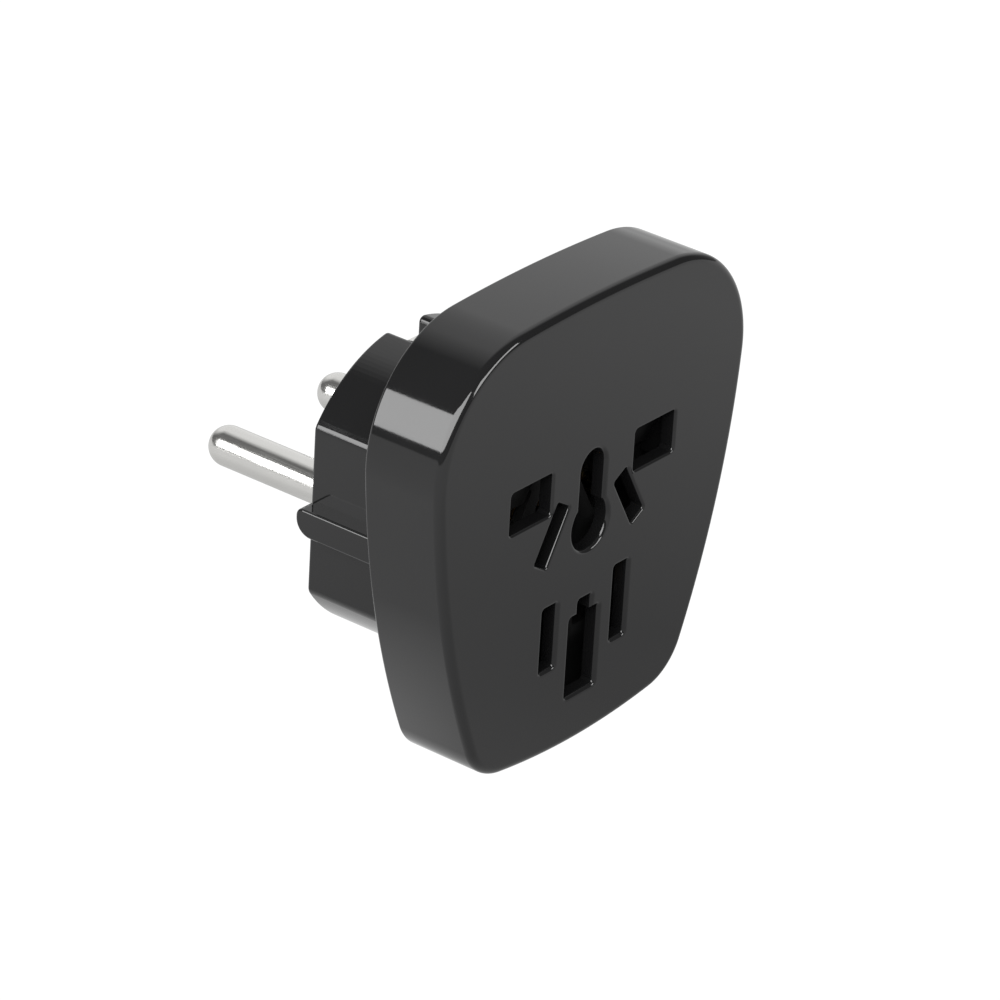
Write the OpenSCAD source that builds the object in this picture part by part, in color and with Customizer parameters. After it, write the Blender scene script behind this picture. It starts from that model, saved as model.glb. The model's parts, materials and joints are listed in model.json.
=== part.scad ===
// Universal travel adapter: a socket for many plug types on a shield-shaped body, with a
// round-bodied, side-grounded, two-pin plug at the back.
// X runs to the right as seen from in front of the socket, Y from the socket to the pins, Z up.
// The origin is on the plug's end face, midway between the two pins.

/* [Body] */
// Depth of the shield-shaped body, socket face to flange
body_d = 10.5; // [10.2:0.1:11]
// Height of the body's top above the plug axis
body_top = 30.8; // [30.5:0.1:32]
// Drop of the body's lowest point below the plug axis
body_drop = 24.4; // [24.2:0.1:25.2]
// Greatest width of the body
body_w = 54.5; // [54:0.5:56]
// Radius of the two shoulder corners
shoulder_r = 14.6; // [13.5:0.1:15]
// Radius of the two chin corners
chin_r = 7.2; // [7:0.1:7.6]
// Thickness of the socket face
face_t = 1.8; // [1.7:0.1:1.9]
// Thickness of the side wall
wall_t = 1.8; // [1.6:0.1:1.8]
// Rounding of the front edge
front_r = 1; // [0.6:0.1:1.4]
// Rounding of the back edge
back_r = 0.4; // [0.2:0.1:0.5]

/* [Plug] */
// Length of the plug body behind the flange
plug_l = 17; // [16.8:0.1:17.5]
// Diameter of the plug body
plug_d = 36.2; // [36:0.1:37]
// Width of the plug body across its two flats
flats_w = 30; // [29.8:0.1:30.4]
// Height of the guide ribs' flat top above the plug axis
rib_top = 1.3; // [1.1:0.1:1.5]
// Reach of the guide ribs beyond the flats
rib_out = 2.6; // [2.4:0.1:2.8]
// Rounding of the plug body's end edge
end_r = 0.4; // [0.2:0.05:0.4]
// Width of the two earth channels
channel_w = 5; // [4.8:0.1:5.4]
// Depth of the two earth channels
channel_h = 2.6; // [2.4:0.1:2.7]
// Diameter of the plug pins
pin_d = 4.8; // [4.75:0.01:4.85]
// Length of the plug pins
pin_l = 19; // [18.5:0.1:19.5]
// Spacing of the plug pins
pin_pitch = 19; // [18.9:0.05:19.1]

/* [Socket] */
// Height of the live and neutral line above the plug axis
line_z = 9; // [8.9:0.05:9.1]
// Middle of the rectangular openings, from the centre line
rect_x = 10.94; // [10.9:0.02:11]
// Width of the rectangular openings
rect_w = 7.2; // [7.1:0.05:7.4]
// Height of the rectangular openings
rect_h = 5.1; // [5:0.05:5.3]
// Middle of the upright blade slots, from the centre line
blade_x = 6.35; // [6.3:0.05:6.4]
// Height of the upright blade slots' middle
blade_z = -9.25; // [-9.4:0.05:-9.1]
// Middle of the slanted slots, from the centre line
slant_x = 6.86; // [6.8:0.02:6.9]
// Height of the slanted slots' middle
slant_z = 3.7; // [3.6:0.05:3.8]
// Slant of the slanted slots
slant_a = 30; // [29:0.5:31]
// Width of the narrow slots
slot_w = 2.45; // [2.35:0.05:2.6]

/* [Shutter] */
// Travel of the shutter
shutter_travel = 5.7; // [5.6:0.1:5.8]
// Running clearance at each side of the shutter
shutter_gap = 0.2; // [0.15:0.05:0.3]
// Wire diameter of the return spring
spring_wire = 0.35; // [0.3:0.05:0.4]
// Outer diameter of the return spring
spring_d = 2.7; // [2.5:0.1:2.8]
// Turns of the return spring
spring_turns = 9; // [7:1:10]

/* [Hidden] */
$fn = 64;
eps = 0.01;

// Stations along the depth
flange_y = -plug_l;
face_y = flange_y - body_d;
face_in_y = face_y + face_t;
plate_t = 2.2;
plate_y = flange_y - plate_t;
end_wall_y = -2.4;
cover_y = face_y + 5.4;
cover_t = 1.2;

// Outline of the body: five arcs on each side, each tangent to the next
top_r = 220;
side_r = 108.7;
drop_r = 92.6;
side_lift = 22.7;
side_out = 0.2;
top_c = [0, body_top - top_r];
side_c = [body_w / 2 + side_out - side_r, side_lift];
drop_c = [0, drop_r - body_drop];
function meet(c1, r1, c2, r2) =
    let (d = norm(c2 - c1), u = (c2 - c1) / d, a = (r1 * r1 - r2 * r2 + d * d) / (2 * d))
    c1 + a * u - sqrt(r1 * r1 - a * a) * [-u[1], u[0]];
function heading(v) = atan2(v[1], v[0]);
function arc(c, r, from, to, n) =
    [for (i = [0:n - 1]) let (a = from + (to - from) * i / n) c + r * [cos(a), sin(a)]];
shoulder_c = meet(top_c, top_r - shoulder_r, side_c, side_r - shoulder_r);
chin_c = meet(side_c, side_r - chin_r, drop_c, drop_r - chin_r);
turns = [90, heading(shoulder_c - top_c), heading(shoulder_c - side_c),
         heading(chin_c - side_c), heading(chin_c - drop_c), -90];
function right_side(d) = concat(
    arc(top_c, top_r - d, turns[0], turns[1], 5),
    arc(shoulder_c, shoulder_r - d, turns[1], turns[2], 20),
    arc(side_c, side_r - d, turns[2], turns[3], 8),
    arc(chin_c, chin_r - d, turns[3], turns[4], 12),
    arc(drop_c, drop_r - d, turns[4], turns[5], 5));
function body_outline(d) =
    let (r = right_side(d), n = len(r))
    concat(r, [[0, -body_drop + d]], [for (i = [n - 1:-1:1]) [-r[i][0], r[i][1]]]);
module body_shape(d) polygon(body_outline(d));

// Screws
screw_spots = [[-19.5, 20], [19.5, 20], [-14, -17], [14, -17]];
boss_r = 2.4;
boss_foot_r = 3.2;
pilot_r = 1.15;
screw_r = 1.1;
screw_l = 6;
head_r = 2.1;
head_t = 1.2;
sink_r = 2.35;
sink_depth = 1.5;

// Contacts
metal_t = 0.5;
bar_t = 0.8;
line_web_y = -8.3;
line_bar_y = line_web_y + metal_t;
carrier_y = line_bar_y + bar_t;
earth_web_y = -4.2;
strap_y = earth_web_y + metal_t;
leg_y = strap_y + bar_t;
mouth_y = -19.5;
round_clip_x = 9.3;
round_clip_w = 3.2;
round_earth_z = 5.5;
round_earth_w = 9.6;
blade_earth_z = -11.2;
blade_earth_w = 5.6;
round_tab = [12.1, 7.6];
bar_out = 13.3;
tab_low = 6.4;
tab_h = 2.4;
rivet_r = 0.55;
rivet_head_r = 0.85;
rivet_head_t = 0.4;
rivet_fit = 0.02;
rivet_clear = 0.2;
earth_rivet_z = 12.6;
tail_r = 1.1;
tail_head_r = 1.6;
shank_r = 2;
root_r = 1.9;
root_lead = 0.55;
collar_r = 3.2;
collar_t = 1.6;

// Shutter
shutter_half = 15.25;
shutter_front = face_in_y + 0.3;
shutter_back = cover_y - 0.4;
flap_in = 6.7;
flap_low = 6.1;
bridge_low = 12.3;
bridge_top = 15.2;
spring_y = (face_in_y + cover_y) / 2;
seat_z = 27.4;
peg_r = 0.75;
peg_l = 2;
back_gap = 0.2;

// Extrusion of a flat (x, z) shape along Y
module along_y(from, to) {
    translate([0, to, 0])
        rotate([90, 0, 0])
            linear_extrude(to - from) children();
}

// Extrusion of a flat (y, z) shape along X
module along_x(from, to) {
    translate([from, 0, 0])
        rotate([90, 0, 90])
            linear_extrude(to - from) children();
}

// Rectangle with rounded corners, centred
module slot(w, h, r = 0.35) {
    corners = [[1, 1], [-1, 1], [-1, -1], [1, -1]];
    polygon([for (k = [0:3], i = [0:4])
        [corners[k][0] * (w / 2 - r), corners[k][1] * (h / 2 - r)]
        + r * [cos(90 * k + 22.5 * i), sin(90 * k + 22.5 * i)]]);
}

// Keyhole for round earth pins, from the in-line place down to the offset one
module keyhole(grow) {
    bulb_r = 3.1;
    neck_r = 2.1;
    bulb_z = 2.7;
    neck_z = 9.6;
    translate([0, bulb_z]) circle(bulb_r + grow);
    translate([0, neck_z]) circle(neck_r + grow);
    translate([-neck_r - grow, bulb_z]) square([2 * (neck_r + grow), neck_z - bulb_z]);
}

// Earth slot: a wide lower part for a rectangular pin, a narrow top for a flat one
module earth_slot(grow) {
    low = -18.27;
    step = -8.31;
    top = -6.5;
    narrow = 2.3;
    wide = 5.1;
    translate([0, (low + step) / 2]) slot(wide + 2 * grow, step - low + 2 * grow);
    translate([-narrow / 2 - grow, step - 1]) square([narrow + 2 * grow, top + 1 - step + grow]);
}

// Every opening of the socket
module socket_slots(grow = 0) {
    short_blade = 7.9;
    long_blade = 9.3;
    slant_l = 7.3;
    for (side = [-1, 1]) {
        translate([side * rect_x, line_z]) slot(rect_w + 2 * grow, rect_h + 2 * grow);
        translate([side * slant_x, slant_z])
            rotate(side * slant_a) slot(slot_w + 2 * grow, slant_l + 2 * grow, 0.3);
        translate([side * blade_x, blade_z])
            slot(slot_w + 2 * grow, (side < 0 ? short_blade : long_blade) + 2 * grow, 0.3);
    }
    keyhole(grow);
    earth_slot(grow);
}

// Body skin: the outline from the face to the flange, drawn in at both edges
module body_skin() {
    front = [for (a = [0:15:90]) a];
    back = [for (a = [90:-30:0]) a];
    layered(concat([for (a = front) face_y + front_r * (1 - cos(a))],
                   [for (a = back) flange_y - back_r * (1 - cos(a))]),
            concat([for (a = front) body_outline(front_r * (1 - sin(a)))],
                   [for (a = back) body_outline(back_r * (1 - sin(a)))]));
}

module front_housing() {
    rail_x = shutter_half + shutter_gap;
    rail_w = 1.4;
    rail_low = flap_low - 1.6;
    rail_high = bridge_top + shutter_travel + 2.1;
    rail_d = cover_y - face_in_y - back_gap;
    seat_w = 5;
    color([0.13, 0.13, 0.13]) {
        difference() {
            body_skin();
            along_y(face_in_y, flange_y + 1) body_shape(wall_t);
            along_y(face_y - 1, face_in_y + 1) socket_slots();
        }
        difference() {
            union() {
                for (p = screw_spots) {
                    translate([p[0], 0, p[1]]) along_y(face_in_y - eps, cover_y) circle(boss_foot_r);
                    translate([p[0], 0, p[1]]) along_y(face_in_y - eps, plate_y) circle(boss_r);
                }
                for (side = [-1, 1])
                    translate([side > 0 ? rail_x : -rail_x - rail_w, face_in_y - eps, rail_low])
                        cube([rail_w, rail_d, rail_high - rail_low]);
                translate([-seat_w / 2, face_in_y - eps, seat_z])
                    cube([seat_w, rail_d, body_top - wall_t - seat_z]);
                translate([0, spring_y, seat_z - peg_l]) cylinder(r = peg_r, h = peg_l + eps);
            }
            for (p = screw_spots)
                translate([p[0], 0, p[1]]) along_y(plate_y - screw_l, plate_y + 1) circle(pilot_r);
        }
    }
}

// Outline of the plug body, drawn in by d: a disc with two flats and two earth channels.
// Convex corners are rounded about fixed centres
lip_r = 0.8;
flat_r = 1.5;
flat_x = flats_w / 2;
function reach(r, x) = sqrt(r * r - x * x);
function plug_half(d) =
    let (big = plug_d / 2,
         lip_c = [channel_w / 2 + lip_r, reach(big - lip_r, channel_w / 2 + lip_r)],
         flat_c = [flat_x - flat_r, reach(big - flat_r, flat_x - flat_r)],
         quarter = concat(
             arc(lip_c, lip_r - d, 180, heading(lip_c), 8),
             arc([0, 0], big - d, heading(lip_c), heading(flat_c), 24),
             arc(flat_c, flat_r - d, heading(flat_c), 0, 8),
             [[flat_x - d, flat_c[1]]]))
    concat(
        [[channel_w / 2 + d, big - channel_h - d]],
        quarter,
        [for (i = [len(quarter) - 1:-1:0]) [quarter[i][0], -quarter[i][1]]],
        [[channel_w / 2 + d, channel_h + d - big]]);
function plug_outline(d) =
    let (r = plug_half(d), n = len(r))
    concat(r, [for (i = [n - 1:-1:0]) [-r[i][0], r[i][1]]]);

// A solid swept along Y through outlines that all have the same number of points
module layered(stations, outlines) {
    n = len(outlines[0]);
    last = len(stations) - 1;
    points = [for (k = [0:last], p = outlines[k]) [p[0], stations[k], p[1]]];
    sides = [for (k = [0:last - 1], i = [0:n - 1])
        [k * n + i, (k + 1) * n + i, (k + 1) * n + (i + 1) % n, k * n + (i + 1) % n]];
    front = [for (i = [0:n - 1]) i];
    back = [for (i = [n - 1:-1:0]) last * n + i];
    polyhedron(points, concat(sides, [front, back]), convexity = 6);
}
module plug_skin() {
    steps = [0:18:90];
    layered(concat([plate_y], [for (a = steps) end_r * (sin(a) - 1)]),
            concat([plug_outline(0)], [for (a = steps) plug_outline(end_r * (1 - cos(a)))]));
}

// Guide rib on the right flat: a straight top, a flat outer face, and an end that is rounded
// a little above and far more below
rib_h = 3.3;
rib_high_r = 0.9;
rib_low_r = 2.1;
rib_edge_r = 0.3;
rib_start = 1;
function rib_outline(d) =
    let (low = rib_top - rib_h, front = -flange_y + rib_start)
    concat(arc([rib_high_r, rib_top - rib_high_r], rib_high_r - d, 180, 90, 6),
           [[rib_high_r, rib_top - d], [front, rib_top - d], [front, low + d]],
           arc([rib_low_r, low + rib_low_r], rib_low_r - d, 270, 180, 12),
           [[d, low + rib_low_r]]);
module guide_rib() {
    steps = [0:18:90];
    root = flat_x - 1;
    shoulder = flat_x + rib_out - rib_edge_r;
    translate([0, -0.05, 0])
        rotate([0, 0, -90])
            layered(concat([root], [for (a = steps) shoulder + rib_edge_r * sin(a)]),
                    concat([rib_outline(0)], [for (a = steps) rib_outline(rib_edge_r * (1 - cos(a)))]));
}

// Section of the plug body's hollow, less a margin all round
module plug_hollow(margin = 0) {
    skin = 1.8;
    side_skin = 1.5;
    channel_skin = 1.2;
    far = 10;
    difference() {
        intersection() {
            circle(plug_d / 2 - skin - margin, $fn = 128);
            square([flats_w - 2 * (side_skin + margin), plug_d], center = true);
        }
        for (side = [-1, 1])
            translate([0, side * (plug_d / 2 - channel_h - channel_skin - margin + far / 2)])
                square([channel_w + 2 * (channel_skin + margin), far], center = true);
    }
}

module rear_housing() {
    lip = 0.1;
    rim_in = 2.1;
    rim_t = 0.8;
    rim_gap = 0.05;
    // Pockets for the flat-lying rectangular pins, cut into the plug body's wall
    pocket_w = 7;
    pocket_h = 4.4;
    pocket_end = -9;
    pocket_skin = 0.4;
    // Window in the bottom channel's floor for the long rectangular earth pin
    window_w = 4.4;
    window_low = -17.2;
    window_high = -8;
    window_end = -4.6;
    leg_slot_w = 4.6;
    leg_slot_in = 11;
    leg_slot_out = 17;
    head_pit_r = 1.4;
    color([0.15, 0.15, 0.15])
    difference() {
        union() {
            along_y(plate_y, flange_y) body_shape(wall_t + lip);
            plug_skin();
            guide_rib();
            mirror([1, 0, 0]) guide_rib();
            difference() {
                along_y(cover_y + cover_t + rim_gap, plate_y + eps) body_shape(rim_in);
                along_y(cover_y, plate_y + 1) body_shape(rim_in + rim_t);
            }
        }
        along_y(plate_y - 1, end_wall_y) plug_hollow();
        for (side = [-1, 1]) {
            along_y(plate_y - 1, pocket_end)
                intersection() {
                    translate([side * rect_x, line_z]) square([pocket_w, pocket_h], center = true);
                    circle(plug_d / 2 - pocket_skin, $fn = 128);
                }
            translate([side * pin_pitch / 2, 0, 0]) {
                along_y(end_wall_y - 1, 1) circle(root_r + 0.02);
                rotate([-90, 0, 0])
                    translate([0, 0, -root_lead])
                        cylinder(r1 = root_r + 0.02, r2 = root_r + 0.02 + root_lead + eps, h = root_lead + eps);
            }
            translate([-leg_slot_w / 2, leg_y - 0.2, side > 0 ? leg_slot_in : -leg_slot_out])
                cube([leg_slot_w, metal_t + 0.2, leg_slot_out - leg_slot_in]);
            translate([0, 0, side * earth_rivet_z])
                along_y(end_wall_y - 1, end_wall_y + rivet_head_t + 0.1) circle(head_pit_r);
        }
        along_y(plate_y - 1, window_end)
            translate([-window_w / 2, window_low]) square([window_w, window_high - window_low]);
        for (p = screw_spots)
            translate([p[0], 0, p[1]]) {
                along_y(plate_y - 2, flange_y + 1) circle(screw_r + 0.2);
                along_y(flange_y - sink_depth, flange_y + 1) circle(sink_r);
            }
    }
}

module contact_cover() {
    color([0.2, 0.2, 0.2])
    along_y(cover_y, cover_y + cover_t)
        difference() {
            body_shape(wall_t + 0.2);
            socket_slots(0.1);
            for (p = screw_spots) translate(p) circle(boss_r + 0.15);
        }
}

// The shutter's two flaps cover the rectangular openings; each has a sloping front that a pin
// pushes up, and a bridge above the keyhole joins them
module shutter() {
    slope_back = cover_y - 1;
    color([0.17, 0.17, 0.17]) {
        for (side = [-1, 1])
            along_x(side > 0 ? flap_in : -shutter_half, side > 0 ? shutter_half : -flap_in)
                polygon([[shutter_front, bridge_low], [shutter_front, bridge_low - 0.4],
                         [slope_back, flap_low], [shutter_back, flap_low],
                         [shutter_back, bridge_low]]);
        translate([-shutter_half, shutter_front, bridge_low])
            cube([2 * shutter_half, shutter_back - shutter_front, bridge_top - bridge_low]);
        translate([0, spring_y, bridge_top - eps]) cylinder(r = peg_r, h = peg_l);
    }
}

// Round wire coil with closed ends, swept ring by ring
module coil(length, mean_r, wire_r, turn_count) {
    per_turn = 20;
    sides = 8;
    rings = turn_count * per_turn;
    function rise(t) =
        t < 1 ? 2 * wire_r * t
        : t > turn_count - 1 ? length - 2 * wire_r * (turn_count - t + 1)
        : 2 * wire_r + (t - 1) * (length - 6 * wire_r) / (turn_count - 2);
    points = [for (i = [0:rings], k = [0:sides - 1])
        let (a = 360 * i / per_turn, b = 360 * k / sides)
        [(mean_r + wire_r * cos(b)) * cos(a), (mean_r + wire_r * cos(b)) * sin(a),
         wire_r + rise(i / per_turn) + wire_r * sin(b)]];
    skin = [for (i = [0:rings - 1], k = [0:sides - 1])
        [i * sides + k, (i + 1) * sides + k,
         (i + 1) * sides + (k + 1) % sides, i * sides + (k + 1) % sides]];
    ends = [[for (k = [0:sides - 1]) k], [for (k = [sides - 1:-1:0]) rings * sides + k]];
    polyhedron(points, concat(skin, ends), convexity = 10);
}

module shutter_spring() {
    color([0.75, 0.75, 0.75])
    translate([0, spring_y, bridge_top + 0.02])
        coil(seat_z - bridge_top - 0.04, (spring_d - spring_wire) / 2, spring_wire / 2, spring_turns);
}

// The insulating block that the bars, the strap and the pins' collars sit in
module contact_carrier() {
    groove_w = 5.2;
    groove_y = strap_y - 0.5;
    groove_d = 4;
    groove_half = 20;
    hole_w = 6.2;
    hole_d = 20;
    blade_hole_z = -12.5;
    blade_hole_h = 9.6;
    color([0.82, 0.8, 0.74])
    difference() {
        along_y(carrier_y, end_wall_y - 0.05) plug_hollow(0.2);
        translate([-groove_w / 2, groove_y, -groove_half]) cube([groove_w, groove_d, 2 * groove_half]);
        translate([0, 0, round_earth_z]) cube([hole_w, hole_d, round_earth_w + 1], center = true);
        translate([0, 0, blade_hole_z]) cube([hole_w, hole_d, blade_hole_h], center = true);
        for (side = [-1, 1]) {
            translate([side * pin_pitch / 2, 0, 0]) {
                along_y(carrier_y - 1, 0) circle(shank_r + 0.05);
                along_y(end_wall_y - collar_t, 0) circle(collar_r + 0.05);
            }
            for (p = [round_tab, [slant_x, slant_z], [blade_x, blade_z]])
                translate([side * p[0], 0, p[1]])
                    along_y(carrier_y - 1, carrier_y + rivet_head_t + rivet_clear)
                        circle(rivet_head_r + rivet_clear);
        }
    }
}

// Conductor bar on one side, with holes for the pin's tail and three rivets
module line_bar(side) {
    bar_in = 4.9;
    bar_r = 16.1;
    bar_low = -12.6;
    bar_high = 11.6;
    color([0.85, 0.7, 0.35])
    along_y(line_bar_y, carrier_y)
        difference() {
            intersection() {
                translate([side > 0 ? bar_in : -bar_out, bar_low])
                    square([bar_out - bar_in, bar_high - bar_low]);
                circle(bar_r, $fn = 128);
            }
            translate([side * pin_pitch / 2, 0]) circle(tail_r + 0.03);
            for (p = [round_tab, [slant_x, slant_z], [blade_x, blade_z]])
                translate([side * p[0], p[1]]) circle(rivet_r + rivet_fit);
        }
}
module live_bar() line_bar(-1);
module neutral_bar() line_bar(1);

// Folded spring clip: two leaves that flare at the mouth, pinch, and run back to a flat web.
// The leaves face each other along X and are w wide along Z
module clip(gap, w, mouth, pinch_y, web_y, back) {
    t = metal_t;
    g = gap / 2;
    linear_extrude(w, center = true)
        polygon([[mouth, mouth_y], [mouth + t, mouth_y], [g + t, pinch_y], [back + t, web_y],
                 [back + t, web_y + t], [-back - t, web_y + t], [-back - t, web_y],
                 [-g - t, pinch_y], [-mouth - t, mouth_y], [-mouth, mouth_y], [-g, pinch_y],
                 [-back, web_y], [back, web_y], [g, pinch_y]]);
}
module rivet_hole(web_y) along_y(web_y - 1, web_y + metal_t + 1) circle(rivet_r + rivet_fit);

// Clip for round pins and flat-lying rectangular pins, on the live and neutral line
module round_clip(side) {
    color([0.9, 0.75, 0.4])
    difference() {
        union() {
            translate([side * round_clip_x, 0, line_z])
                rotate([0, 90, 0]) clip(3.6, round_clip_w, 2.5, -16, line_web_y, 2.1);
            translate([side > 0 ? round_clip_x : -bar_out, line_web_y, tab_low])
                cube([bar_out - round_clip_x, metal_t, tab_h]);
        }
        translate([side * round_tab[0], 0, round_tab[1]]) rivet_hole(line_web_y);
    }
}
module live_round_clip() round_clip(-1);
module neutral_round_clip() round_clip(1);

// Clip for the slanted flat pins
module slant_clip(side) {
    color([0.9, 0.75, 0.4])
    difference() {
        translate([side * slant_x, 0, slant_z])
            rotate([0, -side * slant_a, 0]) clip(1.3, 5.4, 1.05, -16.5, line_web_y, 0.95);
        translate([side * slant_x, 0, slant_z]) rivet_hole(line_web_y);
    }
}
module live_slant_clip() slant_clip(-1);
module neutral_slant_clip() slant_clip(1);

// Clip for the upright flat blades
module blade_clip(side) {
    color([0.9, 0.75, 0.4])
    difference() {
        translate([side * blade_x, 0, blade_z])
            clip(1.2, side < 0 ? 6 : 7, 1.1, -16.5, line_web_y, 0.95);
        translate([side * blade_x, 0, blade_z]) rivet_hole(line_web_y);
    }
}
module live_blade_clip() blade_clip(-1);
module neutral_blade_clip() blade_clip(1);

module earth_strap() {
    strap_w = 4.4;
    strap_half = 14;
    color([0.85, 0.7, 0.35])
    along_y(strap_y, leg_y)
        difference() {
            square([strap_w, 2 * strap_half], center = true);
            for (z = [-earth_rivet_z, round_earth_z, earth_rivet_z])
                translate([0, z]) circle(rivet_r + rivet_fit);
        }
}

module earth_round_clip() {
    color([0.9, 0.75, 0.4])
    difference() {
        translate([0, 0, round_earth_z]) clip(3.7, round_earth_w, 2.4, -16, earth_web_y, 2.1);
        translate([0, 0, round_earth_z]) rivet_hole(earth_web_y);
    }
}

module earth_blade_clip() {
    color([0.9, 0.75, 0.4])
    difference() {
        translate([0, 0, blade_earth_z]) clip(1.4, blade_earth_w, 2.2, -14, earth_web_y, 1.6);
        translate([0, 0, -earth_rivet_z]) rivet_hole(earth_web_y);
    }
}

// Bowed earth spring in the top channel, its rear leg folded in to the strap
module side_clip() {
    clip_w = 4.4;
    bow_r = 35;
    bow_top = plug_d / 2 - 0.3;
    front_end = flange_y + 2.5;
    leg_low = 11.2;
    bow_low = 16;
    middle = (front_end + end_wall_y) / 2;
    leg_top = 17;
    color([0.88, 0.88, 0.86])
    difference() {
        union() {
            intersection() {
                along_x(-clip_w / 2, clip_w / 2)
                    translate([middle, bow_top - bow_r])
                        difference() {
                            circle(bow_r, $fn = 256);
                            circle(bow_r - metal_t, $fn = 256);
                        }
                translate([-clip_w, front_end, bow_low])
                    cube([2 * clip_w, end_wall_y - front_end, plug_d / 2 - bow_low]);
            }
            translate([-clip_w / 2, leg_y, leg_low]) cube([clip_w, metal_t, leg_top - leg_low]);
            translate([-clip_w / 2, front_end, bow_low]) cube([clip_w, metal_t, leg_top - bow_low]);
        }
        translate([0, 0, earth_rivet_z]) rivet_hole(leg_y);
    }
}
module earth_clip_top() side_clip();
module earth_clip_bottom() mirror([0, 0, 1]) side_clip();

// Turned plug pin: round-nosed outside, with a collar behind the end wall and a riveted tail
module plug_pin(side) {
    color([0.9, 0.89, 0.87])
    translate([side * pin_pitch / 2, 0, 0]) {
        along_y(end_wall_y - eps, eps) circle(root_r);
        along_y(0, pin_l - pin_d / 2) circle(d = pin_d);
        translate([0, pin_l - pin_d / 2, 0]) sphere(d = pin_d);
        along_y(end_wall_y - collar_t, end_wall_y) circle(collar_r);
        along_y(carrier_y, end_wall_y) circle(shank_r);
        along_y(line_bar_y - 0.2, carrier_y + eps) circle(tail_r);
        along_y(line_bar_y - metal_t, line_bar_y) circle(tail_head_r);
    }
}
module live_pin() plug_pin(-1);
module neutral_pin() plug_pin(1);

// Rivet with a head at each end
module rivet(from, to) {
    along_y(from - eps, to + eps) circle(rivet_r);
    along_y(from - rivet_head_t, from) circle(rivet_head_r);
    along_y(to, to + rivet_head_t) circle(rivet_head_r);
}
module contact_rivets() {
    color([0.8, 0.78, 0.7]) {
        for (side = [-1, 1], p = [round_tab, [slant_x, slant_z], [blade_x, blade_z]])
            translate([side * p[0], 0, p[1]]) rivet(line_web_y, carrier_y);
        translate([0, 0, round_earth_z]) rivet(earth_web_y, leg_y);
        translate([0, 0, -earth_rivet_z]) rivet(earth_web_y, end_wall_y);
        translate([0, 0, earth_rivet_z]) rivet(strap_y, end_wall_y);
    }
}

// Self-tapping pan-head screw with a cross recess, sunk in the flange
module housing_screws() {
    cross_l = 2.2;
    cross_w = 0.5;
    cross_depth = 0.8;
    head_y = flange_y - sink_depth;
    color([0.7, 0.7, 0.7])
    for (p = screw_spots)
        translate([p[0], 0, p[1]])
            difference() {
                union() {
                    along_y(head_y, head_y + head_t) circle(head_r);
                    along_y(head_y - screw_l, head_y + eps) circle(screw_r);
                }
                for (a = [45, 135])
                    translate([0, head_y + head_t, 0])
                        rotate([0, a, 0])
                            cube([cross_l, 2 * cross_depth, cross_w], center = true);
            }
}

front_housing();
rear_housing();
contact_cover();
shutter();
shutter_spring();
contact_carrier();
live_bar();
neutral_bar();
live_round_clip();
neutral_round_clip();
live_slant_clip();
neutral_slant_clip();
live_blade_clip();
neutral_blade_clip();
earth_strap();
earth_round_clip();
earth_blade_clip();
earth_clip_top();
earth_clip_bottom();
live_pin();
neutral_pin();
contact_rivets();
housing_screws();
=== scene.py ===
"""Universal travel adapter: looks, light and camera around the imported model. Metres throughout."""

import json
import math

import bmesh
import bpy
from mathutils import Matrix, Vector


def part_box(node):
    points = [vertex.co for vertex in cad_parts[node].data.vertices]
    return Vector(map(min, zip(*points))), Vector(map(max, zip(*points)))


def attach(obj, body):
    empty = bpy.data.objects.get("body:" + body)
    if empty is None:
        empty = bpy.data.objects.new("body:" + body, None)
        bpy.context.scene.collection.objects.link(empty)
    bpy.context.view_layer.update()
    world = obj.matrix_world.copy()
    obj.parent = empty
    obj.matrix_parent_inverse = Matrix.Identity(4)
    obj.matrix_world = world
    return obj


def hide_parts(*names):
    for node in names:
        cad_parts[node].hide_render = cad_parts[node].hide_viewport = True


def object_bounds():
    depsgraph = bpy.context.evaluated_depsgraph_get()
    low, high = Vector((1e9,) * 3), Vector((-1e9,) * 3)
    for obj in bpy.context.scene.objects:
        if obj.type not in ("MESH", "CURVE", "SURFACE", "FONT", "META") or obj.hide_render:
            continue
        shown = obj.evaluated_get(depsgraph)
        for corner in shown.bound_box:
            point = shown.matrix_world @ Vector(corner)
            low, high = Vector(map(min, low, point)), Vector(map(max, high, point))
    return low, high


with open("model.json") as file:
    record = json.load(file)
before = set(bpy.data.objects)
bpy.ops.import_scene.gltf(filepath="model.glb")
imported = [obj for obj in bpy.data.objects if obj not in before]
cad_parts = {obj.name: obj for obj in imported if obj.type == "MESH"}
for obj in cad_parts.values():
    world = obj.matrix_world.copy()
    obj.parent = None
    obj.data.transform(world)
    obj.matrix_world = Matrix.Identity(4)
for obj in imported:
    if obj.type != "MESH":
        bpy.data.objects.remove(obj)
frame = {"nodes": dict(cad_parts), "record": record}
cad_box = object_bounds()
MM = 0.001

# ---------------------------------------------------------------- places taken from the frame
body_lo, body_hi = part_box("front_housing")
FACE_Y = body_lo.y
FLANGE_Y = body_hi.y
BODY_W = body_hi.x - body_lo.x
BODY_TOP = body_hi.z
BODY_DROP = -body_lo.z
PLATE_T = 2.2 * MM
PLATE_Y = FLANGE_Y - PLATE_T

# ---------------------------------------------------------------- sizes of the moulded shells
SHOULDER_R = 14.6 * MM
CHIN_R = 7.2 * MM
TOP_R = 220 * MM
SIDE_R = 108.7 * MM
DROP_R = 92.6 * MM
SIDE_LIFT = 22.7 * MM
SIDE_OUT = 0.2 * MM
WALL = 1.8 * MM
FACE_T = 1.8 * MM
FRONT_R = 1.0 * MM
BACK_R = 0.4 * MM
SLOT_R = 0.36 * MM
DEEP_SLOT_R = 0.55 * MM
SUPPORT = 0.06 * MM

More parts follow.
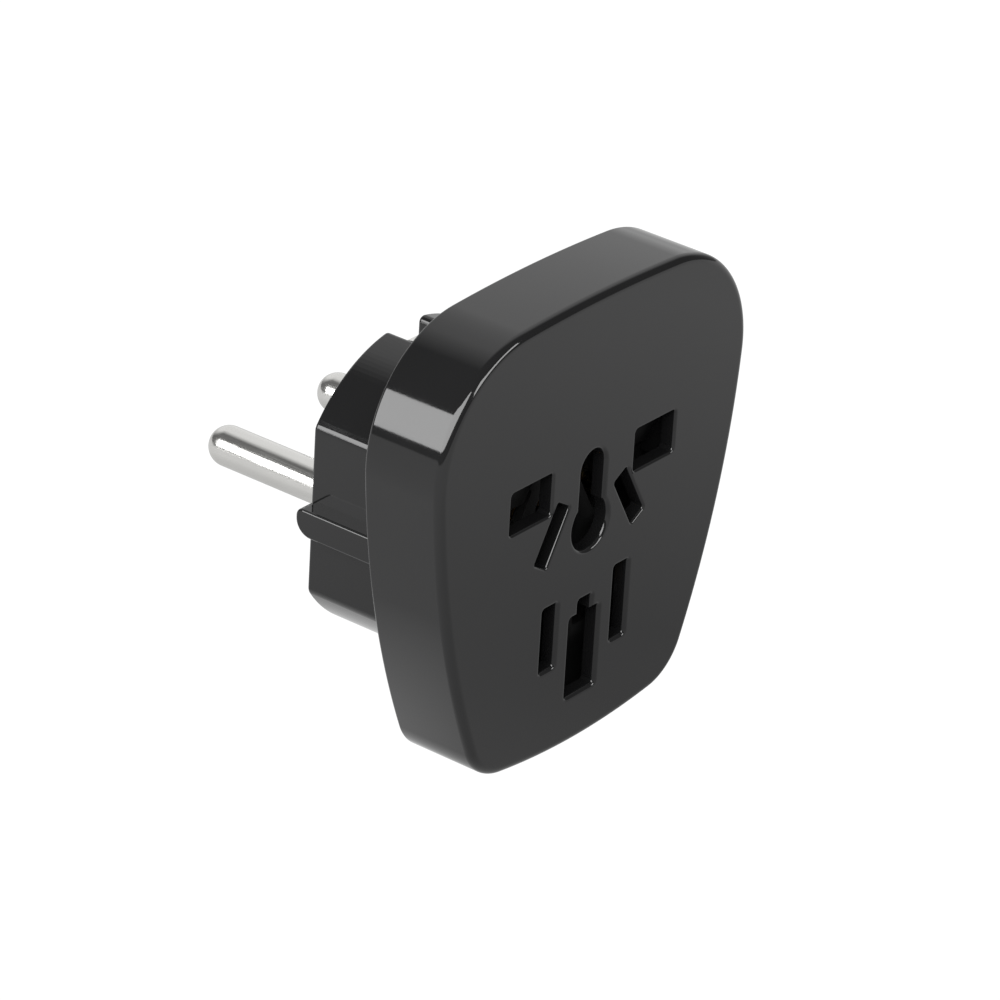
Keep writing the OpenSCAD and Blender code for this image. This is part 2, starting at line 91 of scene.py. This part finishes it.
# ---------------------------------------------------------------- sizes of the openings
# Rectangular and slanted openings: middle x and z, width and height
RECT = (10.94 * MM, 9 * MM, 7.2 * MM, 5.1 * MM)
SLANT = (6.86 * MM, 3.7 * MM, 2.45 * MM, 7.3 * MM)
SLANT_TILT = math.radians(30)
# Upright openings: middle x and z, and width; the left one is shorter
BLADE = (6.35 * MM, -9.25 * MM, 2.45 * MM)
SHORT_BLADE = 7.9 * MM
LONG_BLADE = 9.3 * MM
RECT_CORNER_R = 0.45 * MM
NARROW_CORNER_R = 0.3 * MM
# Keyhole: a round bulb below a narrower round-topped neck
BULB_R = 3.1 * MM
BULB_Z = 2.7 * MM
NECK_R = 2.1 * MM
NECK_Z = 9.6 * MM
# Earth slot: half widths and heights of its wide part and its narrow top
EARTH_WIDE = 2.55 * MM
EARTH_NARROW = 1.15 * MM
EARTH_LOW = -18.27 * MM
EARTH_STEP = -8.31 * MM
EARTH_TOP = -6.5 * MM
EARTH_CORNER_R = 0.35 * MM

# ---------------------------------------------------------------- sizes of the features inside the shell
BOSS_FOOT_R = 3.2 * MM
BOSS_R = 2.4 * MM
PILOT_R = 1.15 * MM
PILOT_DEPTH = 6 * MM
FOOT_BORE_DEPTH = 0.01 * MM
SLIDE_GAP = 0.2 * MM
RAIL_W = 1.4 * MM
RAIL_LOW = 4.5 * MM
RAIL_HIGH = 23 * MM
SEAT_HALF_W = 2.5 * MM
SEAT_Z = 27.4 * MM
BOSSES = [(-19.5 * MM, 20 * MM), (19.5 * MM, 20 * MM), (-14 * MM, -17 * MM), (14 * MM, -17 * MM)]


# ---------------------------------------------------------------- node materials
def node_material(name):
    """A new material, its node tree, its shader and its object-space position."""
    mat = bpy.data.materials.new(name)
    mat.use_nodes = True
    tree = mat.node_tree
    shader = tree.nodes["Principled BSDF"]
    place = tree.nodes.new("ShaderNodeTexCoord").outputs["Object"]
    return mat, tree, shader, place


def link(tree, source, target):
    tree.links.new(source, target)


def noise(tree, place, scale, detail=3.0, roughness=0.5, stretch=None):
    """Noise over position; stretch squeezes it along an axis, for drawn or turned marks."""
    if stretch:
        mapping = tree.nodes.new("ShaderNodeMapping")
        mapping.inputs["Scale"].default_value = stretch
        link(tree, place, mapping.inputs["Vector"])
        place = mapping.outputs["Vector"]
    n = tree.nodes.new("ShaderNodeTexNoise")
    n.inputs["Scale"].default_value = scale
    n.inputs["Detail"].default_value = detail
    n.inputs["Roughness"].default_value = roughness
    link(tree, place, n.inputs["Vector"])
    return n.outputs["Fac"]


def spread(tree, value, low, high, start=0.3, end=0.7):
    """Maps a value that runs from start to end onto low to high."""
    r = tree.nodes.new("ShaderNodeMapRange")
    r.inputs["From Min"].default_value = start
    r.inputs["From Max"].default_value = end
    r.inputs["To Min"].default_value = low
    r.inputs["To Max"].default_value = high
    link(tree, value, r.inputs["Value"])
    return r.outputs["Result"]


def tint(tree, value, dark, light):
    """Colour that runs from dark to light with value."""
    m = tree.nodes.new("ShaderNodeMix")
    m.data_type = "RGBA"
    m.inputs["A"].default_value = (*dark, 1)
    m.inputs["B"].default_value = (*light, 1)
    link(tree, value, m.inputs["Factor"])
    return m.outputs["Result"]


def bump(tree, shader, layers):
    """Stacks bump layers of (height, depth in metres, strength) on the shader's normal."""
    normal = None
    for height, depth, strength in layers:
        b = tree.nodes.new("ShaderNodeBump")
        b.inputs["Strength"].default_value = strength
        b.inputs["Distance"].default_value = depth
        link(tree, height, b.inputs["Height"])
        if normal:
            link(tree, normal, b.inputs["Normal"])
        normal = b.outputs["Normal"]
    link(tree, normal, shader.inputs["Normal"])


def gloss_black():
    """Polished black moulding: faint flow waves, a very fine grain, and a slight cloudiness."""
    mat, tree, shader, place = node_material("gloss_black_moulding")
    flow = noise(tree, place, 160, 2)
    grain = noise(tree, place, 2600, 2)
    cloud = noise(tree, place, 70, 4)
    colour = tint(tree, cloud, (0.0055, 0.0055, 0.0057), (0.0075, 0.0075, 0.0077))
    link(tree, colour, shader.inputs["Base Color"])
    link(tree, spread(tree, flow, 0.045, 0.085), shader.inputs["Roughness"])
    shader.inputs["IOR"].default_value = 1.49
    bump(tree, shader, [(flow, 0.00001, 0.3), (grain, 0.000003, 0.25)])
    return mat


def matt_plastic(name, dark, light, roughness, gloss=0.5):
    """Fine-grained matt moulding, a little uneven in colour."""
    mat, tree, shader, place = node_material(name)
    cloud = noise(tree, place, 220, 4)
    grain = noise(tree, place, 5200, 3)
    link(tree, tint(tree, cloud, dark, light), shader.inputs["Base Color"])
    link(tree, spread(tree, grain, roughness - 0.08, roughness + 0.1), shader.inputs["Roughness"])
    shader.inputs["Specular IOR Level"].default_value = gloss
    bump(tree, shader, [(grain, 0.00002, 0.35), (cloud, 0.00003, 0.1)])
    return mat


def metal(name, dark, light, roughness, stretch, spacing=5200, depth=0.3):
    """Metal with fine marks along one axis, cloudy tarnish and uneven polish."""
    mat, tree, shader, place = node_material(name)
    marks = noise(tree, place, spacing, 3, 0.6, stretch)
    cloud = noise(tree, place, 260, 4)
    link(tree, tint(tree, cloud, dark, light), shader.inputs["Base Color"])
    link(tree, spread(tree, marks, roughness * 0.7, roughness * 1.5), shader.inputs["Roughness"])
    shader.inputs["Metallic"].default_value = 1.0
    bump(tree, shader, [(marks, 0.000006, depth)])
    return mat


GLOSS = gloss_black()
INNER = matt_plastic("inner_black_moulding", (0.006, 0.006, 0.006), (0.009, 0.009, 0.009), 0.7, 0.12)
IVORY = matt_plastic("carrier_moulding", (0.5, 0.45, 0.35), (0.62, 0.57, 0.46), 0.5)
NICKEL = metal("bright_nickel", (0.66, 0.655, 0.635), (0.72, 0.715, 0.695), 0.18, (1, 0.03, 1))
BRASS = metal("stamped_brass", (0.42, 0.3, 0.12), (0.6, 0.45, 0.2), 0.34, (1, 0.05, 1), 3200, 0.4)
STEEL = metal("drawn_spring_wire", (0.42, 0.42, 0.43), (0.6, 0.6, 0.61), 0.25, (1, 1, 0.1))
ZINC = metal("zinc_plated_screw", (0.45, 0.45, 0.46), (0.66, 0.66, 0.67), 0.3, (1, 1, 1), 2600, 0.4)
FINISH = {
    "gloss_black": GLOSS,
    "inner_black": INNER,
    "carrier_ivory": IVORY,
    "nickel": NICKEL,
    "brass": BRASS,
    "spring_steel": STEEL,
    "screw_steel": ZINC,
}


# ---------------------------------------------------------------- mesh helpers
def shade(piece, angle=32):
    """Smooth shading that breaks at real corners and keeps flat faces flat."""
    mesh = piece.data
    mesh.shade_smooth()
    mesh.set_sharp_from_angle(angle=math.radians(angle))
    weighted = piece.modifiers.new("weighted_normals", "WEIGHTED_NORMAL")
    weighted.keep_sharp = True
    weighted.weight = 90


def finish_piece(name, bm, material, body, replaced):
    """Turns a bmesh into a piece that rides on a body in place of a CAD node."""
    mesh = bpy.data.meshes.new(name)
    bmesh.ops.recalc_face_normals(bm, faces=bm.faces)
    bm.to_mesh(mesh)
    bm.free()
    piece = bpy.data.objects.new(name, mesh)
    bpy.context.scene.collection.objects.link(piece)
    mesh.materials.append(material)
    shade(piece)
    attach(piece, body)
    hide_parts(replaced)
    return piece


def add_ring(bm, points, y):
    return [bm.verts.new((x, y, z)) for x, z in points]


def join_rings(bm, first, second):
    n = len(first)
    for i in range(n):
        j = (i + 1) % n
        bm.faces.new((first[i], first[j], second[j], second[i]))


def ring_edges(bm, ring):
    n = len(ring)
    return [bm.edges.get((ring[i], ring[(i + 1) % n])) for i in range(n)]


def fill_between(bm, rings):
    """Flat fill inside the first ring, with the other rings as holes."""
    edges = [e for ring in rings for e in ring_edges(bm, ring)]
    bmesh.ops.triangle_fill(bm, use_beauty=True, edges=edges)


# ---------------------------------------------------------------- outline of the body
def meet(c1, r1, c2, r2):
    """Where two circles cross, on the side of the outline's right half."""
    d = (c2 - c1).length
    u = (c2 - c1) / d
    a = (r1 * r1 - r2 * r2 + d * d) / (2 * d)
    return c1 + a * u - math.sqrt(r1 * r1 - a * a) * Vector((-u.y, u.x))


def heading(v):
    return math.atan2(v.y, v.x)


def body_arcs():
    """The five tangent arcs of the outline's right half: centre, radius, angles, steps."""
    top = Vector((0, BODY_TOP - TOP_R))
    side = Vector((BODY_W / 2 + SIDE_OUT - SIDE_R, SIDE_LIFT))
    drop = Vector((0, DROP_R - BODY_DROP))
    shoulder = meet(top, TOP_R - SHOULDER_R, side, SIDE_R - SHOULDER_R)
    chin = meet(side, SIDE_R - CHIN_R, drop, DROP_R - CHIN_R)
    t = [math.pi / 2, heading(shoulder - top), heading(shoulder - side),
         heading(chin - side), heading(chin - drop), -math.pi / 2]
    return [(top, TOP_R, t[0], t[1], 10), (shoulder, SHOULDER_R, t[1], t[2], 64),
            (side, SIDE_R, t[2], t[3], 20), (chin, CHIN_R, t[3], t[4], 40), (drop, DROP_R, t[4], t[5], 10)]


ARCS = body_arcs()


def body_loop(inset):
    """Points of the body's outline, drawn in by inset."""
    right = []
    for centre, radius, start, end, steps in ARCS:
        r = radius - inset
        for i in range(steps):
            a = start + (end - start) * i / steps
            right.append((centre.x + r * math.cos(a), centre.y + r * math.sin(a)))
    bottom = [(0.0, -BODY_DROP + inset)]
    return right + bottom + [(-x, z) for x, z in reversed(right[1:])]


# ---------------------------------------------------------------- outlines of the openings
def corner(cx, cz, radius, start, steps=6):
    """A quarter round about (cx, cz), from the angle start."""
    turns = [math.radians(start + 90 * i / steps) for i in range(steps + 1)]
    return [(cx + radius * math.cos(a), cz + radius * math.sin(a)) for a in turns]


def slot_loop(cx, cz, w, h, r, tilt=0.0):
    """A function of the growth that gives a rounded rectangle's points, tilted about its middle."""
    def points(grow):
        hw, hh = w / 2 - r, h / 2 - r
        flat = (corner(hw, hh, r + grow, 0) + corner(-hw, hh, r + grow, 90)
                + corner(-hw, -hh, r + grow, 180) + corner(hw, -hh, r + grow, 270))
        ct, st = math.cos(tilt), math.sin(tilt)
        return [(cx + x * ct - z * st, cz + x * st + z * ct) for x, z in flat]
    return points


def keyhole_loop(grow):
    """Round bulb below, narrow round-topped neck above."""
    bulb_r = BULB_R + grow
    neck_r = NECK_R + grow
    half = math.acos(neck_r / bulb_r)
    start, sweep = math.pi - half, math.pi + 2 * half
    bulb = [start + sweep * i / 40 for i in range(41)]
    neck = [math.pi * i / 24 for i in range(25)]
    return ([(bulb_r * math.cos(a), BULB_Z + bulb_r * math.sin(a)) for a in bulb]
            + [(neck_r * math.cos(a), NECK_Z + neck_r * math.sin(a)) for a in neck])


def earth_loop(grow):
    """Wide slot with a narrow top."""
    low = EARTH_LOW - grow
    step = EARTH_STEP + grow
    top = EARTH_TOP + grow
    narrow = EARTH_NARROW + grow
    wide = EARTH_WIDE + grow
    r = EARTH_CORNER_R + grow
    small = NARROW_CORNER_R + grow
    cap = list(reversed(corner(narrow - small, top - small, small, 0)))
    high_corner = list(reversed(corner(wide - r, step - r, r, 0)))
    low_corner = list(reversed(corner(wide - r, low + r, r, 270)))
    half = cap + [(narrow, step)] + high_corner + low_corner
    return half + [(-x, z) for x, z in reversed(half)]


def all_slots():
    """Each opening's outline, with the rounding of its front edge."""
    slots = [(keyhole_loop, DEEP_SLOT_R), (earth_loop, DEEP_SLOT_R)]
    for side in (-1, 1):
        length = SHORT_BLADE if side < 0 else LONG_BLADE
        slots += [
            (slot_loop(side * RECT[0], *RECT[1:], RECT_CORNER_R), SLOT_R),
            (slot_loop(side * SLANT[0], *SLANT[1:], NARROW_CORNER_R, side * SLANT_TILT), SLOT_R),
            (slot_loop(side * BLADE[0], *BLADE[1:], length, NARROW_CORNER_R), DEEP_SLOT_R),
        ]
    return slots


# ---------------------------------------------------------------- front shell
def add_tube(bm, x, z, outer, bore, start, end, depth, steps=32):
    """A boss along Y with a blind bore from its end."""
    def ring(radius, y):
        turns = [2 * math.pi * i / steps for i in range(steps)]
        return add_ring(bm, [(x + radius * math.cos(a), z + radius * math.sin(a)) for a in turns], y)
    rings = [ring(outer, start), ring(outer, end), ring(bore, end), ring(bore, end - depth)]
    for first, second in zip(rings, rings[1:]):
        join_rings(bm, first, second)
    bm.faces.new(rings[0])
    bm.faces.new(rings[-1])


def add_block(bm, low, high):
    """A plain block between two corners, part of a larger moulding."""
    made = bmesh.ops.create_cube(bm, size=1)["verts"]
    size = Vector(high) - Vector(low)
    middle = (Vector(high) + Vector(low)) / 2
    for v in made:
        v.co = Vector((v.co.x * size.x, v.co.y * size.y, v.co.z * size.z)) + middle


def front_shell():
    """The socket face, its openings with broken edges, the side wall and the moulded features inside.

    Only the flat fills are triangles, and they are shaded flat; a narrow ring round each keeps its rim true.
    """
    bm = bmesh.new()
    rings = [add_ring(bm, body_loop(FRONT_R + 2 * SUPPORT), FACE_Y)]
    for i in range(11):
        a = math.radians(9 * i)
        outline = body_loop(FRONT_R * (1 - math.sin(a)))
        rings.append(add_ring(bm, outline, FACE_Y + FRONT_R * (1 - math.cos(a))))
    for i in range(7):
        a = math.radians(90 - 15 * i)
        outline = body_loop(BACK_R * (1 - math.sin(a)))
        rings.append(add_ring(bm, outline, FLANGE_Y - BACK_R * (1 - math.cos(a))))
    rings.append(add_ring(bm, body_loop(WALL), FLANGE_Y))
    rings.append(add_ring(bm, body_loop(WALL), FACE_Y + FACE_T))
    for first, second in zip(rings, rings[1:]):
        join_rings(bm, first, second)
    outer_holes, inner_holes = [], []
    for loop, edge in all_slots():
        stack = [add_ring(bm, loop(edge + SUPPORT), FACE_Y)]
        for i in range(10):
            a = math.radians(10 * i)
            stack.append(add_ring(bm, loop(edge * (1 - math.sin(a))), FACE_Y + edge * (1 - math.cos(a))))
        stack.append(add_ring(bm, loop(0), FACE_Y + FACE_T))
        for first, second in zip(stack, stack[1:]):
            join_rings(bm, first, second)
        outer_holes.append(stack[0])
        inner_holes.append(stack[-1])
    fill_between(bm, [rings[0], *outer_holes])
    fill_between(bm, [rings[-1], *inner_holes])
    inner_y = FACE_Y + FACE_T
    cover_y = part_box("contact_cover")[0].y
    for x, z in BOSSES:
        add_tube(bm, x, z, BOSS_FOOT_R, BOSS_R, inner_y, cover_y, FOOT_BORE_DEPTH)
        add_tube(bm, x, z, BOSS_R, PILOT_R, inner_y, PLATE_Y, PILOT_DEPTH)
    rail_back = cover_y - SLIDE_GAP
    rail_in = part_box("shutter")[1].x + SLIDE_GAP
    rail_out = rail_in + RAIL_W
    add_block(bm, (rail_in, inner_y, RAIL_LOW), (rail_out, rail_back, RAIL_HIGH))
    add_block(bm, (-rail_out, inner_y, RAIL_LOW), (-rail_in, rail_back, RAIL_HIGH))
    add_block(bm, (-SEAT_HALF_W, inner_y, SEAT_Z), (SEAT_HALF_W, rail_back, BODY_TOP - WALL))
    shell = finish_piece("front_shell", bm, GLOSS, "housing", "front_housing")
    for face in shell.data.polygons:
        if len(face.vertices) == 3:
            face.use_smooth = False


front_shell()

# ---------------------------------------------------------------- carried-over CAD nodes
for entry in frame["record"]["subparts"]:
    node = frame["nodes"][entry["node"]]
    node.data.materials.clear()
    node.data.materials.append(FINISH[entry["material_slot"]])
    if entry["node"] != "front_housing":
        shade(node)


# ---------------------------------------------------------------- stage, light, camera
def direction(azimuth, elevation):
    """Unit vector; azimuth from +Y towards +X, in degrees."""
    a, e = math.radians(azimuth), math.radians(elevation)
    return Vector((math.sin(a) * math.cos(e), math.cos(a) * math.cos(e), math.sin(e)))


def combine(tree, operation, a, b):
    """A maths node over two values, each a number or another node's output."""
    m = tree.nodes.new("ShaderNodeMath")
    m.operation = operation
    for socket, value in zip(m.inputs, (a, b)):
        if isinstance(value, (int, float)):
            socket.default_value = value
        else:
            link(tree, value, socket)
    return m.outputs["Value"]


def distance_from(tree, place, point):
    d = tree.nodes.new("ShaderNodeVectorMath")
    d.operation = "DISTANCE"
    link(tree, place, d.inputs[0])
    d.inputs[1].default_value = point
    return d.outputs["Value"]


def glow_material(name, build):
    """Emission whose strength is what build(tree) gives."""
    mat = bpy.data.materials.new(name)
    mat.use_nodes = True
    tree = mat.node_tree
    tree.nodes.clear()
    out = tree.nodes.new("ShaderNodeOutputMaterial")
    glow = tree.nodes.new("ShaderNodeEmission")
    link(tree, glow.outputs["Emission"], out.inputs["Surface"])
    strength = build(tree)
    if isinstance(strength, (int, float)):
        glow.inputs["Strength"].default_value = strength
    else:
        link(tree, strength, glow.inputs["Strength"])
    return mat


def stage_mesh(name, points, faces, material, for_camera):
    """A stage piece that either the camera sees or the light uses, not both."""
    mesh = bpy.data.meshes.new(name)
    mesh.from_pydata([tuple(p) for p in points], [], faces)
    mesh.materials.append(material)
    piece = bpy.data.objects.new(name, mesh)
    bpy.context.scene.collection.objects.link(piece)
    piece.visible_camera = for_camera
    piece.visible_diffuse = not for_camera
    piece.visible_glossy = not for_camera
    piece.visible_shadow = False


def card(name, columns, strength, distance=1.6):
    """Glowing card round the object: each column is (azimuth, lowest, highest elevation)."""
    points = []
    for azimuth, low, high in columns:
        points.append(direction(azimuth, low) * distance)
        points.append(direction(azimuth, high) * distance)
    faces = [(2 * i, 2 * i + 2, 2 * i + 3, 2 * i + 1) for i in range(len(columns) - 1)]
    stage_mesh(name, points, faces, glow_material(name + "_glow", lambda tree: strength), False)


def studio_stage():
    """A white floor for the camera, and a pale one for the light, with painted light and shade in its glow.
    """
    z = cad_box[0].z - 0.2 * MM

    def square(half):
        return [(-half, -half, z), (half, -half, z), (half, half, z), (-half, half, z)]

    stage_mesh("floor", square(4), [(0, 1, 2, 3)], glow_material("white_paper", lambda tree: 1.05), True)

    def floor_light(tree):
        """Paler on the left and under the plug, and darker close to its foot: a painted falloff of light
        from the left, a painted pool of light under the plug and a painted shadow of the object at its foot.
        """
        place = tree.nodes.new("ShaderNodeTexCoord").outputs["Object"]
        apart = tree.nodes.new("ShaderNodeSeparateXYZ")
        link(tree, place, apart.inputs["Vector"])
        # Painted light and shade: the glow falls off from left to right, is darkened round the object's foot
        # as a painted shadow and is raised under the plug as a painted pool of light.
        painted_side_falloff = spread(tree, apart.outputs["X"], 0.8, 0.74, -0.05, 0.06)
        painted_foot_shadow = spread(tree, distance_from(tree, place, (20 * MM, -30 * MM, z)), 0.58, 1, 0.01, 0.1)
        painted_light_under_plug = spread(tree, distance_from(tree, place, (-14 * MM, -5 * MM, z)), 2, 1, 0.006, 0.026)
        return combine(tree, "MULTIPLY", combine(tree, "MULTIPLY", painted_side_falloff, painted_foot_shadow), painted_light_under_plug)

    stage_mesh("floor_light", square(1.5), [(0, 1, 2, 3)], glow_material("painted_floor_light", floor_light), False)


def studio_light():
    """A large softbox on the left, a small one in front, a pale wall at the back right, dark elsewhere."""
    card_strength = 8.0
    wall_strength = 0.784
    side_strength = 0.12
    ambient = 0.16
    card("softbox", [(-46, 27, 30), (-50, 14, 32), (-56, 6, 35), (-64, 6, 39), (-72, 8, 43), (-80, 9, 45),
                     (-90, 10, 47), (-100, 12, 48), (-110, 15, 50), (-120, 19, 51), (-130, 23, 52),
                     (-140, 28, 51), (-150, 34, 46)], card_strength)
    card("small_softbox", [(142, 20, 31), (152, 16, 29), (162, 12, 28), (172, 9, 29), (182, 22, 34)],
         card_strength)
    world = bpy.data.worlds.new("studio")
    bpy.context.scene.world = world
    world.use_nodes = True
    tree = world.node_tree
    tree.nodes.clear()
    out = tree.nodes.new("ShaderNodeOutputWorld")
    glow = tree.nodes.new("ShaderNodeBackground")
    glow.inputs["Color"].default_value = (1, 1, 1, 1)
    link(tree, glow.outputs["Background"], out.inputs["Surface"])
    along = tree.nodes.new("ShaderNodeTexCoord").outputs["Generated"]

    def lobe(azimuth, elevation, full, none, strength):
        """Strength in one direction, fading between two angles from it, in degrees."""
        dot = tree.nodes.new("ShaderNodeVectorMath")
        dot.operation = "DOT_PRODUCT"
        link(tree, along, dot.inputs[0])
        dot.inputs[1].default_value = direction(azimuth, elevation)
        return spread(tree, dot.outputs["Value"], 0, strength,
                      math.cos(math.radians(none)), math.cos(math.radians(full)))

    wall = combine(tree, "ADD", lobe(48, 32, 28, 46, wall_strength), lobe(78, 8, 12, 28, side_strength))
    seen = tree.nodes.new("ShaderNodeLightPath").outputs["Is Camera Ray"]
    room = combine(tree, "ADD", wall, ambient)
    link(tree, combine(tree, "MAXIMUM", room, seen), glow.inputs["Strength"])


def studio_camera():
    """The photograph's viewing angle, from behind the socket face's left shoulder, with its slight roll."""
    azimuth, elevation, roll = map(math.radians, (-52.867, 27.143, 3.41))
    distance = 639.4 * MM
    target = Vector((-16.72, -27.5, 11.81)) * MM
    back = Vector((math.sin(azimuth) * math.cos(elevation), -math.cos(azimuth) * math.cos(elevation),
                   math.sin(elevation)))
    right = Vector((math.cos(azimuth), math.sin(azimuth), 0))
    up = back.cross(right)
    rolled_right = math.cos(roll) * right + math.sin(roll) * up
    rolled_up = math.cos(roll) * up - math.sin(roll) * right
    data = bpy.data.cameras.new("camera")
    data.lens = 215.1
    data.sensor_width = 36
    camera = bpy.data.objects.new("camera", data)
    bpy.context.scene.collection.objects.link(camera)
    turn = Matrix((rolled_right, rolled_up, back)).transposed()
    camera.matrix_world = Matrix.Translation(target + back * distance) @ turn.to_4x4()
    bpy.context.scene.camera = camera


studio_stage()
studio_light()
studio_camera()
bpy.context.scene.view_settings.view_transform = "Standard"
